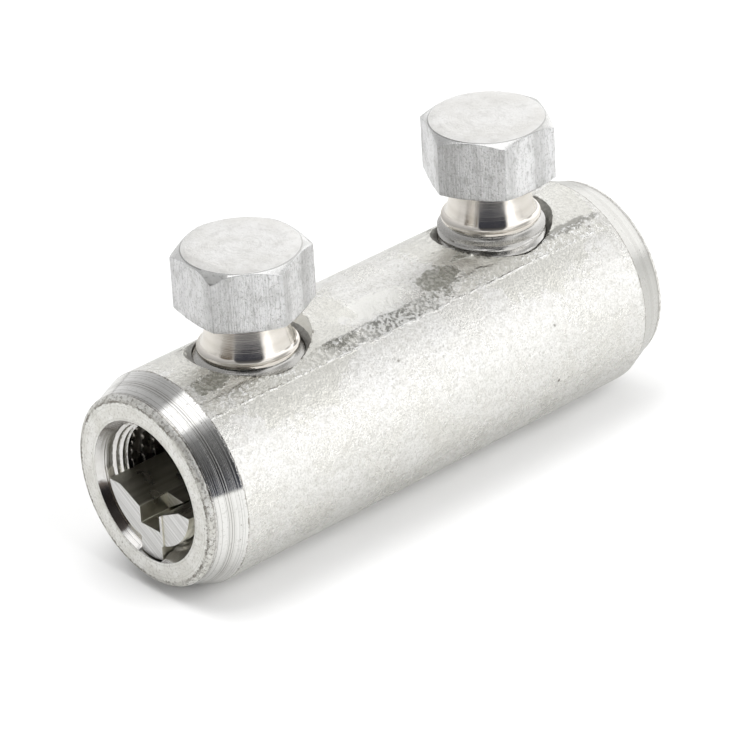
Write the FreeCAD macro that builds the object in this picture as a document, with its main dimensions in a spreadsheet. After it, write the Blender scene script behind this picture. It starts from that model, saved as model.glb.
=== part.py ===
import FreeCAD, Part
import os
from math import atan2, sqrt

import Sketcher

# An inline mechanical joint for two overhead conductors: a turned barrel of tinned aluminium with a
# blind bore from each end, an extruded insert lying in each bore, and two hexagon headed shear bolts.
# X runs along the barrel, Z runs up along the bolts, and the origin is the middle of the barrel's axis.
# Lengths are millimetres and angles are degrees.

SIZES = {
    # barrel, outside
    "barrel_length": 66.0,
    "barrel_radius": 12.0,
    "band_length": 4.1,
    "band_depth": 1.34,
    "rim_length": 0.62,
    "rim_height": 0.12,
    "rim_chamfer": 0.58,
    # barrel, bores
    "bore_radius": 6.5,
    "centre_wall": 4.0,
    "lead_in_depth": 2.9,
    "lead_in_width": 1.55,
    # keyway along the floor of each bore
    "keyway_half_width": 1.77,
    "keyway_depth": 1.37,
    "keyway_curve": 4.5,
    # serrations along the roof of each bore
    "serration_depth": 0.5,
    "serration_half_width": 0.42,
    "serration_pitch": 10.0,
    "serration_span": 180.0,
    # tapped holes
    "bolt_offset": 17.6,
    "thread_radius": 5.9,
    "thread_clearance": 0.1,
    "countersink": 1.35,
    # shear bolts
    "across_flats": 13.0,
    "head_height": 6.8,
    "head_top_radius": 6.3,
    "head_top_chamfer": 0.62,
    "head_base_radius": 6.65,
    "head_base_chamfer": 0.25,
    "blank_margin": 0.5,
    "neck_radius": 4.15,
    "neck_length": 2.8,
    "flare_fillet": 1.2,
    "collar_inset": 0.45,
    "collar_height": 0.35,
    "relief_inset": 0.8,
    "relief_height": 0.35,
    "thread_chamfer": 0.5,
    "thread_length": 4.4,
    "tip_chamfer": 0.9,
    # how far each bolt's collar stands above the barrel's outside, and the turn of its head
    "left_bolt_rise": -0.4,
    "right_bolt_rise": 1.3,
    "left_bolt_turn": 23.2,
    "right_bolt_turn": 1.2,
    # inserts
    "insert_clearance": 0.12,
    "insert_recess": 0.5,
    "insert_end_gap": 0.4,
    "lobe_drop": 1.0,
    "shelf_half_width": 4.55,
    "slot_half_width": 1.55,
    "slot_shoulder": 2.5,
    "slot_floor": 4.45,
}

DERIVED = {
    "half_length": "=barrel_length / 2",
    "rim_end": "=half_length - rim_length",
    "band_end": "=half_length - band_length",
    "band_start_radius": "=barrel_radius - band_depth",
    "rim_radius": "=band_start_radius + rim_height",
    "end_face_radius": "=rim_radius - rim_chamfer",
    "mouth_radius": "=bore_radius + lead_in_width",
    "lead_in_end": "=half_length - lead_in_depth",
    "wall_face": "=centre_wall / 2",
    "bore_depth": "=half_length - wall_face",
    "keyway_side": "=bore_radius + keyway_depth",
    "serration_root": "=bore_radius + serration_depth",
    "serration_top": "=bore_radius - serration_depth / 2",
    "serration_flank": "=serration_half_width * 1.5",
    "serration_count": "=round(serration_span / serration_pitch) + 1",
    "hole_radius": "=thread_radius + thread_clearance",
    "countersink_foot": "=barrel_radius - countersink",
    "countersink_top": "=barrel_radius + countersink",
    "countersink_radius": "=hole_radius + 2 * countersink",
    "corner_radius": "=across_flats / sqrt(3)",
    "corner_half": "=corner_radius / 2",
    "flat_radius": "=across_flats / 2",
    "blank_radius": "=corner_radius + blank_margin",
    "ring_radius": "=blank_radius + blank_margin",
    "collar_radius": "=thread_radius - collar_inset",
    "relief_radius": "=thread_radius - relief_inset",
    "fillet_radius": "=neck_radius + flare_fillet * (1 - cos(45))",
    "fillet_foot": "=collar_radius - fillet_radius",
    "fillet_top": "=fillet_foot + flare_fillet * sin(45)",
    "head_base": "=fillet_top + neck_length",
    "head_top": "=head_base + head_height",
    "blank_top": "=head_top - head_top_chamfer * (blank_radius - head_top_radius) / (corner_radius - head_top_radius)",
    "blank_base": "=head_base + head_base_chamfer * (blank_radius - head_base_radius) / (corner_radius - head_base_radius)",
    "relief_end": "=collar_height + relief_height",
    "thread_start": "=relief_end + thread_chamfer",
    "thread_end": "=thread_start + thread_length",
    "tip_edge": "=thread_end - tip_chamfer",
    "tip_radius": "=thread_radius - tip_chamfer",
    "left_bolt_height": "=barrel_radius + left_bolt_rise",
    "right_bolt_height": "=barrel_radius + right_bolt_rise",
    "insert_length": "=bore_depth - insert_recess - insert_end_gap",
    "insert_start": "=wall_face + insert_end_gap",
    "insert_far_end": "=half_length - insert_recess",
    "insert_radius": "=bore_radius - insert_clearance",
    "lobe_edge": "=sqrt(insert_radius ^ 2 - lobe_drop ^ 2)",
    "keel_half_width": "=keyway_half_width - insert_clearance",
    "keel_root": "=sqrt(insert_radius ^ 2 - keel_half_width ^ 2)",
    "keel_side": "=keyway_side - insert_clearance",
}

doc = FreeCAD.newDocument("MidSpanJoint")
sheet = doc.addObject("Spreadsheet::Sheet", "Sizes")


def fill_sheet():
    """Write each size and each formula to the sheet, one row each, under its own name."""
    for row, (name, content) in enumerate({**SIZES, **DERIVED}.items(), start=1):
        sheet.set(f"A{row}", name)
        sheet.set(f"B{row}", str(content))
        sheet.setAlias(f"B{row}", name)
    doc.recompute()


def size(name):
    """The value of a named size."""
    return float(getattr(sheet, name))


def coordinate(cell):
    """The value of a coordinate: a size's name, with a minus on the negative side, or 0."""
    if cell == "0":
        return 0.0
    return -size(cell[1:]) if cell.startswith("-") else size(cell)


def hold(sketch, constraint, cell):
    """Add a dimension and tie it to the size it is named after."""
    index = sketch.addConstraint(constraint)
    sketch.setExpression(f"Constraints[{index}]", f"{sheet.Name}.{cell.lstrip('-')}")


def fix_point(sketch, edge, end, corner):
    """Tie one end of an edge to its two coordinates, measured from the sketch's origin."""
    for kind, axis, cell in (("DistanceX", -2, corner[0]), ("DistanceY", -1, corner[1])):
        if cell == "0":
            sketch.addConstraint(Sketcher.Constraint("PointOnObject", edge, end, axis))
        elif cell.startswith("-"):
            hold(sketch, Sketcher.Constraint(kind, edge, end, -1, 1, size(cell[1:])), cell)
        else:
            hold(sketch, Sketcher.Constraint(kind, -1, 1, edge, end, size(cell)), cell)


def arc_between(start, end, radius, bulge):
    """The short arc from start to end, swelling to the left or the right of the way it runs."""
    chord = end.sub(start)
    rise = sqrt(radius**2 - (chord.Length / 2) ** 2)
    leftward = FreeCAD.Vector(-chord.y, chord.x, 0).normalize()
    side = -1 if bulge == "left" else 1
    centre = start.add(chord.multiply(0.5)).add(leftward.multiply(side * rise))
    first, last = (end, start) if bulge == "left" else (start, end)
    angles = [atan2(point.y - centre.y, point.x - centre.x) for point in (first, last)]
    return Part.ArcOfCircle(Part.Circle(centre, FreeCAD.Vector(0, 0, 1), radius), *angles)


def draw_outline(sketch, corners):
    """Draw a closed outline. A corner is its two coordinates; two more words make the edge that
    leaves it an arc, and give that arc's radius and the side it swells to."""
    points = [FreeCAD.Vector(coordinate(corner[0]), coordinate(corner[1]), 0) for corner in corners]
    ends = []
    for number, corner in enumerate(corners):
        start, end = points[number], points[(number + 1) % len(points)]
        if len(corner) == 2:
            edge = sketch.addGeometry(Part.LineSegment(start, end), False)
            ends.append((edge, 1, 2))
            continue
        edge = sketch.addGeometry(arc_between(start, end, size(corner[2]), corner[3]), False)
        ends.append((edge, 2, 1) if corner[3] == "left" else (edge, 1, 2))
    for number, (edge, first, last) in enumerate(ends):
        following = ends[(number + 1) % len(ends)]
        sketch.addConstraint(Sketcher.Constraint("Coincident", edge, last, following[0], following[1]))
        fix_point(sketch, edge, first, corners[number])
        if len(corners[number]) > 2:
            radius = corners[number][2]
            hold(sketch, Sketcher.Constraint("Radius", edge, size(radius)), radius)


def new_body(label):
    """An empty body whose label is its node's name."""
    body = doc.addObject("PartDesign::Body", label)
    body.Label = label
    return body


def origin_feature(body, role):
    """One of the body's own origin planes or axes."""
    return [feature for feature in body.Origin.OriginFeatures if feature.Role == role][0]


def new_sketch(body, name, plane, shift=None):
    """A sketch on an origin plane, shifted along one of its own axes by a signed size."""
    sketch = body.newObject("Sketcher::SketchObject", name)
    sketch.AttachmentSupport = [(origin_feature(body, plane), "")]
    sketch.MapMode = "FlatFace"
    if shift:
        axis, cell = shift
        minus = "-" if cell.startswith("-") else ""
        sketch.setExpression(f"AttachmentOffset.Base.{axis}", f"{minus}{sheet.Name}.{cell.lstrip('-')}")
    return sketch


def revolve(body, kind, name, sketch, axis):
    """Turn a sketch about one of its own axes, as solid (Revolution) or as a cut (Groove)."""
    feature = body.newObject(f"PartDesign::{kind}", name)
    feature.Profile = sketch
    feature.ReferenceAxis = (sketch, [axis])
    feature.Angle = 360.0
    return feature


def extrude(body, kind, name, sketch, length, backwards=False):
    """Push a sketch along its normal, as solid (Pad) or as a cut (Pocket)."""
    feature = body.newObject(f"PartDesign::{kind}", name)
    feature.Profile = sketch
    feature.Type = "Length"
    feature.Reversed = backwards
    feature.setExpression("Length", f"{sheet.Name}.{length}")
    return feature


def toward(side, cell):
    """A coordinate along the barrel: positive on the right, negative on the left."""
    return cell if side == "right" else "-" + cell


def turn_barrel(body):
    """The barrel's outside: a round bar with a tapered turned band and a small chamfered rim at each end."""
    sketch = new_sketch(body, "BarrelOutline", "XZ_Plane")
    draw_outline(sketch, [
        ("-half_length", "0"),
        ("-half_length", "end_face_radius"),
        ("-rim_end", "rim_radius"),
        ("-rim_end", "band_start_radius"),
        ("-band_end", "barrel_radius"),
        ("band_end", "barrel_radius"),
        ("rim_end", "band_start_radius"),
        ("rim_end", "rim_radius"),
        ("half_length", "end_face_radius"),
        ("half_length", "0"),
    ])
    revolve(body, "Revolution", "Barrel", sketch, "H_Axis")


def cut_bore(body, side):
    """A blind bore with its conical lead in."""
    sketch = new_sketch(body, f"BoreOutline_{side}", "XZ_Plane")
    draw_outline(sketch, [
        (toward(side, "wall_face"), "0"),
        (toward(side, "wall_face"), "bore_radius"),
        (toward(side, "lead_in_end"), "bore_radius"),
        (toward(side, "half_length"), "mouth_radius"),
        (toward(side, "half_length"), "0"),
    ])
    revolve(body, "Groove", f"Bore_{side}", sketch, "H_Axis")


def cut_keyway(body, side):
    """The round bottomed groove in the bore's floor that the insert's keel stands in."""
    sketch = new_sketch(body, f"KeywayOutline_{side}", "YZ_Plane", ("z", toward(side, "wall_face")))
    draw_outline(sketch, [
        ("keyway_half_width", "0"),
        ("keyway_half_width", "-keyway_side", "keyway_curve", "left"),
        ("-keyway_half_width", "-keyway_side"),
        ("-keyway_half_width", "0"),
    ])
    extrude(body, "Pocket", f"Keyway_{side}", sketch, "bore_depth", side == "right")


def cut_serrations(body, side):
    """One V groove along the bore, repeated over the roof from one side to the other."""
    sketch = new_sketch(body, f"SerrationOutline_{side}", "YZ_Plane", ("z", toward(side, "wall_face")))
    draw_outline(sketch, [
        ("serration_root", "0"),
        ("serration_top", "serration_flank"),
        ("serration_top", "-serration_flank"),
    ])
    groove = extrude(body, "Pocket", f"Serration_{side}", sketch, "bore_depth", side == "right")
    pattern = body.newObject("PartDesign::PolarPattern", f"Serrations_{side}")
    pattern.Originals = [groove]
    pattern.Axis = (origin_feature(body, "X_Axis"), [""])
    pattern.setExpression("Angle", f"{sheet.Name}.serration_span")
    pattern.setExpression("Occurrences", f"{sheet.Name}.serration_count")
    body.Tip = pattern


def cut_tapped_hole(body, side):
    """A radial hole for a bolt, countersunk where it breaks the barrel's outside."""
    sketch = new_sketch(body, f"HoleOutline_{side}", "XZ_Plane", ("x", toward(side, "bolt_offset")))
    draw_outline(sketch, [
        ("0", "0"),
        ("hole_radius", "0"),
        ("hole_radius", "countersink_foot"),
        ("countersink_radius", "countersink_top"),
        ("0", "countersink_top"),
    ])
    revolve(body, "Groove", f"Hole_{side}", sketch, "V_Axis")


def build_connector_body():
    """The barrel: turned, bored from both ends, keyed, serrated and tapped."""
    body = new_body("connector_body")
    turn_barrel(body)
    for side in ("left", "right"):
        cut_bore(body, side)
        cut_keyway(body, side)
        cut_serrations(body, side)
        cut_tapped_hole(body, side)
    return body


def build_shear_bolt(side):
    """A bolt turned from one bar, with the hexagon of its head milled on a round blank."""
    body = new_body(f"shear_bolt_{side}")
    outline = new_sketch(body, f"BoltOutline_{side}", "XZ_Plane")
    draw_outline(outline, [
        ("0", "head_top"),
        ("head_top_radius", "head_top"),
        ("blank_radius", "blank_top"),
        ("blank_radius", "blank_base"),
        ("head_base_radius", "head_base"),
        ("neck_radius", "head_base"),
        ("neck_radius", "fillet_top", "flare_fillet", "right"),
        ("fillet_radius", "fillet_foot"),
        ("collar_radius", "0"),
        ("collar_radius", "-collar_height"),
        ("relief_radius", "-relief_end"),
        ("thread_radius", "-thread_start"),
        ("thread_radius", "-tip_edge"),
        ("tip_radius", "-thread_end"),
        ("0", "-thread_end"),
    ])
    revolve(body, "Revolution", f"BoltBlank_{side}", outline, "V_Axis")
    ring = new_sketch(body, f"HexagonOutline_{side}", "XY_Plane", ("z", "head_top"))
    draw_outline(ring, [
        ("corner_radius", "0"),
        ("corner_half", "flat_radius"),
        ("-corner_half", "flat_radius"),
        ("-corner_radius", "0"),
        ("-corner_half", "-flat_radius"),
        ("corner_half", "-flat_radius"),
    ])
    rim = ring.addGeometry(Part.Circle(FreeCAD.Vector(), FreeCAD.Vector(0, 0, 1), size("ring_radius")), False)
    ring.addConstraint(Sketcher.Constraint("Coincident", rim, 3, -1, 1))
    hold(ring, Sketcher.Constraint("Radius", rim, size("ring_radius")), "ring_radius")
    extrude(body, "Pocket", f"Hexagon_{side}", ring, "head_height")
    body.Placement = FreeCAD.Placement(
        FreeCAD.Vector(coordinate(toward(side, "bolt_offset")), 0, size(f"{side}_bolt_height")),
        FreeCAD.Rotation(FreeCAD.Vector(0, 0, 1), size(f"{side}_bolt_turn")),
    )
    minus = "-" if side == "left" else ""
    body.setExpression("Placement.Base.x", f"{minus}{sheet.Name}.bolt_offset")
    body.setExpression("Placement.Base.z", f"{sheet.Name}.{side}_bolt_height")
    return body


def build_insert(side):
    """An extruded cradle: two lobes that fit the bore, a slot between them and a keel below."""
    body = new_body(f"conductor_insert_{side}")
    sketch = new_sketch(body, f"InsertOutline_{side}", "YZ_Plane")
    draw_outline(sketch, [
        ("lobe_edge", "-lobe_drop", "insert_radius", "left"),
        ("keel_half_width", "-keel_root"),
        ("keel_half_width", "-keel_side", "keyway_curve", "left"),
        ("-keel_half_width", "-keel_side"),
        ("-keel_half_width", "-keel_root", "insert_radius", "left"),
        ("-lobe_edge", "-lobe_drop"),
        ("-shelf_half_width", "-lobe_drop"),
        ("-slot_half_width", "-slot_shoulder"),
        ("-slot_half_width", "-slot_floor"),
        ("slot_half_width", "-slot_floor"),
        ("slot_half_width", "-slot_shoulder"),
        ("shelf_half_width", "-lobe_drop"),
    ])
    extrude(body, "Pad", f"Insert_{side}", sketch, "insert_length")
    start = "insert_start" if side == "right" else "-insert_far_end"
    body.Placement.Base.x = coordinate(start)
    minus = "-" if start.startswith("-") else ""
    body.setExpression("Placement.Base.x", f"{minus}{sheet.Name}.{start.lstrip('-')}")
    return body


def check(bodies):
    """Stop if a feature failed, a cut removed nothing or a piece isn't one sound solid."""
    for item in doc.Objects:
        if {"Invalid", "Error"} & set(item.State):
            raise SystemExit(f"{item.Label} failed: {item.State}")
        if item.TypeId in ("PartDesign::Pocket", "PartDesign::Groove", "PartDesign::PolarPattern"):
            if item.Shape.Volume >= item.BaseFeature.Shape.Volume - 1e-6:
                raise SystemExit(f"{item.Label} cuts nothing")
    for body in bodies:
        shape = body.Shape
        if shape.isNull() or not shape.isValid() or len(shape.Solids) != 1:
            raise SystemExit(f"{body.Label} isn't one valid solid")


def main():
    fill_sheet()
    bodies = [build_connector_body()]
    for side in ("left", "right"):
        bodies.append(build_shear_bolt(side))
        bodies.append(build_insert(side))
    doc.recompute()
    check(bodies)
    os.makedirs("parts", exist_ok=True)
    for body in bodies:
        body.Shape.exportStep(f"parts/{body.Label}.step")
        print(f"{body.Label}: {body.Shape.Volume:.1f} mm3, {len(body.Shape.Faces)} faces")


main()
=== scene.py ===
# %% [markdown]
# # A mid span joint with two shear bolts
# The object joins two overhead conductors end to end. A barrel of tinned aluminium is bored from both
# ends, an extruded cradle lies in each bore, and a bolt with a hexagon head presses each conductor down.
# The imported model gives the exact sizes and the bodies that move. This script rebuilds every visible
# surface with numpy from the same sizes, so that threads, teeth, tool marks and dents can be added.

# %% Frame
import math

import bmesh
import bpy
import numpy as np
from mathutils import Matrix, Vector


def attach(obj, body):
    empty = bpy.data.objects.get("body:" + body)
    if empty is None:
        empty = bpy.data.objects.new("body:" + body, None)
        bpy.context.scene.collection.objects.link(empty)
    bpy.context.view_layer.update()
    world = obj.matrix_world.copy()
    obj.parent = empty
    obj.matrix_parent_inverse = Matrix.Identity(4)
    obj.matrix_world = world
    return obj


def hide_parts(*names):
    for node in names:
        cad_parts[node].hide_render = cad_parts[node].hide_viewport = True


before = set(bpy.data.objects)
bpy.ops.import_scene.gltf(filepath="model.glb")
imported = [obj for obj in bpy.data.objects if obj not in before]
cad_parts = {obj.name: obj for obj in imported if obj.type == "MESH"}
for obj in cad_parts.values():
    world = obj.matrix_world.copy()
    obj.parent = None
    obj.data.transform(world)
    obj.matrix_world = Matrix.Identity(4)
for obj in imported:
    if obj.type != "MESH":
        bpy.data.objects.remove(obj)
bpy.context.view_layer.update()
print("nodes", sorted(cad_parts))

# %% [markdown]
# ## Sizes
# All lengths are millimetres, as in the drawing, and are turned into metres only when a mesh is made.
# X runs along the barrel, Z up along the bolts, and the photographed side faces minus Y. A bolt has its
# place along the barrel, the height of its collar's top, and the turn of its hexagon in degrees.

# %% Sizes
MM, TO_DEGREES = 0.001, 57.2958
BARREL_R, HALF_LENGTH, BAND_END, RIM_END = 12.0, 33.0, 28.9, 32.38
BAND_START_R, MOUTH_R, BORE_R, WALL_FACE, LEAD_END = 10.66, 8.05, 6.5, 2.0, 30.1
HOLE_R, COUNTERSINK_FOOT, BOLT_X = 6.0, 10.65, 17.6
FLAT_R, HEAD_BASE, HEAD_TOP, TOP_R, BASE_R = 6.5, 4.6, 11.4, 6.3, 6.65
CORNER_R = FLAT_R / math.cos(math.pi / 6)
COLLAR_R, RELIEF_R, THREAD_R, THREAD_PITCH = 5.45, 5.1, 5.9, 1.0
BOLTS = {"left": (-BOLT_X, 11.6, 23.2), "right": (BOLT_X, 13.3, 1.2)}
print("barrel", 2 * BARREL_R, "x", 2 * HALF_LENGTH, "mm, heads", 2 * FLAT_R, "mm across flats")

# %% [markdown]
# ## From grids to meshes
# Every surface here is a grid of points: rows along a profile, columns around an axis. Grids could be
# joined by hand in edit mode, but a shell does it by number: it collects several grids, each with its own
# finish, and welds their shared borders. Each grid also carries a UV map that holds the distance along
# the profile and around it, in centimetres, which tool marks follow.

# %% Meshes
WELD, SLIVER, SHARP = 0.002 * MM, 0.0005 * MM, math.radians(32)


def lengths(profile):
    """Distance run along a profile (n, 2), by adding up its steps."""
    return np.concatenate([[0], np.cumsum(np.hypot(*np.diff(profile, axis=0).T))])


def new_mesh(name, points, faces, uvs, finishes, materials):
    """A mesh from points in mm and a UV for each point, with a finish number for each face."""
    mesh = bpy.data.meshes.new(name)
    mesh.from_pydata((points * MM).tolist(), [], faces)
    for material in materials:
        mesh.materials.append(material)
    mesh.polygons.foreach_set("material_index", np.array(finishes, np.int32))
    corners = np.zeros(len(mesh.loops), np.int32)
    mesh.loops.foreach_get("vertex_index", corners)
    layer = mesh.uv_layers.new(name="lengths")
    layer.data.foreach_set("uv", uvs[corners].astype(np.float32).ravel())
    return mesh


def in_scene(name, data):
    """A new object, linked to the scene."""
    made = bpy.data.objects.new(name, data)
    bpy.context.scene.collection.objects.link(made)
    return made


def new_piece(mesh):
    """Puts a mesh in the scene, smooth but for its sharp edges."""
    mesh.shade_smooth()
    mesh.set_sharp_from_angle(angle=SHARP)
    print(mesh.name, len(mesh.polygons), "faces")
    return in_scene(mesh.name, mesh)


# %% [markdown]
# A shell is the list of grids of one piece. Welding merges the points that two grids share, which works
# because both grids put the same numbers on their border.


# %% Shell
class Shell:
    """Grids of points that are welded to one mesh."""

    def __init__(self):
        self.points, self.faces, self.uvs, self.finishes, self.count = [], [], [], [], 0

    def add(self, points, uv, finish, outward, keep=None):
        """Adds a grid (rows, columns, 3). Face (i, j) joins corners i, i+1 and j, j+1. The grid is turned
        over if its faces point against the vectors in outward. keep masks the faces that stay."""
        rows, columns = points.shape[:2]
        index = np.arange(rows * columns).reshape(rows, columns)
        faces = np.stack([index[:-1, :-1], index[1:, :-1], index[1:, 1:], index[:-1, 1:]], -1)
        a, b, c, d = (points.reshape(-1, 3)[faces[..., k]] for k in range(4))
        normal = np.cross(c - a, d - b)
        reference = np.broadcast_to(outward, points.shape)[:-1, :-1]
        if (normal * reference).sum() < 0:
            faces = faces[..., ::-1]
        faces = faces[keep] if keep is not None else faces.reshape(-1, 4)
        self.points.append(points.reshape(-1, 3))
        self.uvs.append(np.broadcast_to(uv, (rows, columns, 2)).reshape(-1, 2))
        self.faces.append(faces + self.count)
        self.finishes.append(np.full(len(faces), finish))
        self.count += rows * columns

    def mesh(self, name, body, slot, materials):
        """Welds the grids, removes slivers and makes the piece ride on its body."""
        points, faces, uvs, finishes = (
            np.concatenate(parts) for parts in (self.points, self.faces, self.uvs, self.finishes))
        mesh = new_mesh(name, points, faces.tolist(), uvs, finishes, materials)
        welded = bmesh.new()
        welded.from_mesh(mesh)
        bmesh.ops.remove_doubles(welded, verts=welded.verts, dist=WELD)
        bmesh.ops.dissolve_degenerate(welded, edges=welded.edges, dist=SLIVER)
        welded.to_mesh(mesh)
        welded.free()
        piece = new_piece(mesh)
        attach(piece, body)
        return piece


# %% [markdown]
# ## Shader nodes as formulas
# A finish is a tree of nodes. It can be wired by hand in the shader editor, but a formula is shorter to
# read, so each output of a node is wrapped as a value here: a * 2 + b places two Math nodes.


# %% Values
class Value:
    """One output of a node. Arithmetic with it places Math nodes."""

    def __init__(self, tree, socket):
        self.tree, self.socket = tree, socket

    def __add__(self, other):
        return self.tree.math("ADD", self, other)

    def __sub__(self, other):
        return self.tree.math("SUBTRACT", self, other)

    def __rsub__(self, other):
        return self.tree.math("SUBTRACT", other, self)

    def __mul__(self, other):
        return self.tree.math("MULTIPLY", self, other)

    def __truediv__(self, other):
        return self.tree.math("DIVIDE", self, other)

    def __rtruediv__(self, other):
        return self.tree.math("DIVIDE", other, self)

    def __abs__(self):
        return self.tree.math("ABSOLUTE", self)


class Placed:
    """A node in its tree. placed["name"] or placed[number] is one of its outputs."""

    def __init__(self, tree, node):
        self.tree, self.node = tree, node

    def __getitem__(self, key):
        return Value(self.tree, self.node.outputs[key])


# %% [markdown]
# A tree holds the nodes of one material or group. Each call places a node, feeds its inputs and gives back
# what comes out of it.


# %% Trees
class Tree:
    """Short ways to place and join shader nodes."""

    def __init__(self, tree):
        self.nodes, self.links = tree.nodes, tree.links

    def feed(self, target, value):
        """Links a value to an input, or sets the input to a number, a vector or a colour of three."""
        if isinstance(value, Value):
            self.links.new(value.socket, target)
        else:
            target.default_value = (*value, 1.0) if target.type == "RGBA" else value

    def node(self, kind, settings=None, **inputs):
        """Places a node. Settings are its properties. An input goes by its name, with _ for a space, or
        by its number after _."""
        made = self.nodes.new("ShaderNode" + kind)
        for key, value in (settings or {}).items():
            setattr(made, key, value)
        for key, value in inputs.items():
            self.feed(made.inputs[int(key[1:]) if key[1:].isdigit() else key.replace("_", " ")], value)
        return Placed(self, made)

    def math(self, operation, a, b=0.0):
        """One arithmetic step."""
        return self.node("Math", {"operation": operation}, _0=a, _1=b)[0]

    def most(self, first, *others):
        """The largest of several values."""
        for other in others:
            first = self.math("MAXIMUM", first, other)
        return first

    def noise(self, vector, scale, detail, roughness):
        """A noise texture with scale cells a metre."""
        return self.node("TexNoise", Vector=vector, Scale=scale, Detail=detail, Roughness=roughness)[0]

    def split(self, vector):
        """The three parts of a vector."""
        return self.node("SeparateXYZ", Vector=vector)

    def distance(self, x, y):
        """Distance of a place (x, y) from zero."""
        both = self.node("CombineXYZ", X=x, Y=y)[0]
        return self.node("VectorMath", {"operation": "LENGTH"}, _0=both)["Value"]

    def ramp(self, value, low, high, start=0.0, end=1.0, smooth=True):
        """Maps value from low..high to start..end, with soft ends if smooth, and holds it outside."""
        settings = {"interpolation_type": "SMOOTHSTEP" if smooth else "LINEAR"}
        return self.node("MapRange", settings, _0=value, _1=low, _2=high, _3=start, _4=end)[0]

    def window(self, value, low, high, soft):
        """1 between low and high, 0 outside, with soft borders."""
        return self.ramp(value, low - soft, low + soft) * self.ramp(value, high - soft, high + soft, 1.0, 0.0)

    def mix(self, factor, a, b):
        """Mixes two colours."""
        return self.node("Mix", {"data_type": "RGBA"}, _0=factor, _6=a, _7=b)[2]

    def layers(self, tone, *over):
        """Lays colours over a tone, one after another, each where its mask is 1."""
        for mask, colour in over:
            tone = self.mix(mask, tone, colour)
        return tone


# %% [markdown]
# ## Shader groups
# Four effects are shared by the finishes: a cloudy unevenness, fine grain, tool marks that repeat along
# one length, and small pits. They could be copied into each material, but as groups with named inputs
# they are built once and change in one place. Each gives masks and heights only.


# %% Group helper
def new_group(name, inputs, outputs):
    """A group, its tree, its input node and the sockets of its output node. An input has a number to
    start with, or None if it is a vector."""
    group = bpy.data.node_groups.new(name, "ShaderNodeTree")
    for label, number in inputs.items():
        kind = "NodeSocketVector" if number is None else "NodeSocketFloat"
        made = group.interface.new_socket(name=label, in_out="INPUT", socket_type=kind)
        if number is not None:
            made.default_value = number
    for label in outputs:
        group.interface.new_socket(name=label, in_out="OUTPUT", socket_type="NodeSocketFloat")
    print("group", name)
    tree = Tree(group)
    entry = Placed(tree, group.nodes.new("NodeGroupInput"))
    return group, tree, entry, group.nodes.new("NodeGroupOutput").inputs


# %% [markdown]
# Clouds are the slow changes that plating, handling and dirt leave over some millimetres: one noise
# texture, with its contrast stretched about the middle.

# %% Clouds group
cloud_group, tree, entry, leave = new_group(
    "Clouds", {"Vector": None, "Size mm": 5.0, "Contrast": 1.0}, ["Tone"])
noise = tree.noise(entry["Vector"], 1000.0 / entry["Size mm"], 3.0, 0.55)
tree.feed(leave["Tone"], (noise - 0.5) * entry["Contrast"] + 0.5)

# %% [markdown]
# Grain is the fine roughness of the metal itself. Its lowest dips also come out as a mask of specks,
# because dirt stays in them.

# %% Grain group
grain_group, tree, entry, leave = new_group(
    "Grain", {"Vector": None, "Size mm": 0.3, "Speck share": 0.3}, ["Height", "Speck"])
noise = tree.noise(entry["Vector"], 1000.0 / entry["Size mm"], 4.0, 0.65)
edge = tree.ramp(entry["Speck share"], 0.0, 1.0, 0.32, 0.62, smooth=False)
tree.feed(leave["Height"], noise)
tree.feed(leave["Speck"], tree.ramp(noise, edge - 0.07, edge, 1.0, 0.0))

# %% [markdown]
# A lathe or a saw leaves lines that change only along one length. A wave would make them all alike, so a
# noise of one dimension is used: uneven lines as a height, and slower bands as streaks.

# %% Tool marks group
mark_group, tree, entry, leave = new_group(
    "Tool marks", {"Length cm": 0.0, "Pitch mm": 0.2, "Wander": 0.0}, ["Height", "Streak"])
turns = entry["Length cm"] * 10.0 / entry["Pitch mm"] + entry["Wander"]
fine = tree.node("TexNoise", {"noise_dimensions": "1D"}, W=turns, Scale=1.0, Detail=2.0, Roughness=0.6)
slow = tree.node("TexNoise", {"noise_dimensions": "1D"}, W=turns, Scale=0.23, Detail=2.0, Roughness=0.5)
tree.feed(leave["Height"], fine[0])
tree.feed(leave["Streak"], tree.ramp(slow[0], 0.36, 0.64))

# %% [markdown]
# Pits are single small holes in the plating. Each cell of a Voronoi texture can hold one dot, and a
# random number of the cell decides whether it does.

# %% Pits group
pit_group, tree, entry, leave = new_group(
    "Pits", {"Vector": None, "Spacing mm": 2.0, "Share": 0.2}, ["Mask"])
cells = tree.node("TexVoronoi", Vector=entry["Vector"], Scale=1000.0 / entry["Spacing mm"], Randomness=1.0)
dot = tree.ramp(cells["Distance"], 0.03, 0.11, 1.0, 0.0)
chosen = tree.node("SeparateColor", Color=cells["Color"])[0]
tree.feed(leave["Mask"], dot * tree.math("LESS_THAN", chosen, entry["Share"]))

# %% [markdown]
# ## A bare metal
# All finishes are metals, so they start alike. Patterns that sit anywhere read the Object coordinate, and
# tool marks read the lengths of the UV map, so that they follow each surface. The colour is a base with
# layers over it, each where its mask says, and the bump comes from one height.


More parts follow.
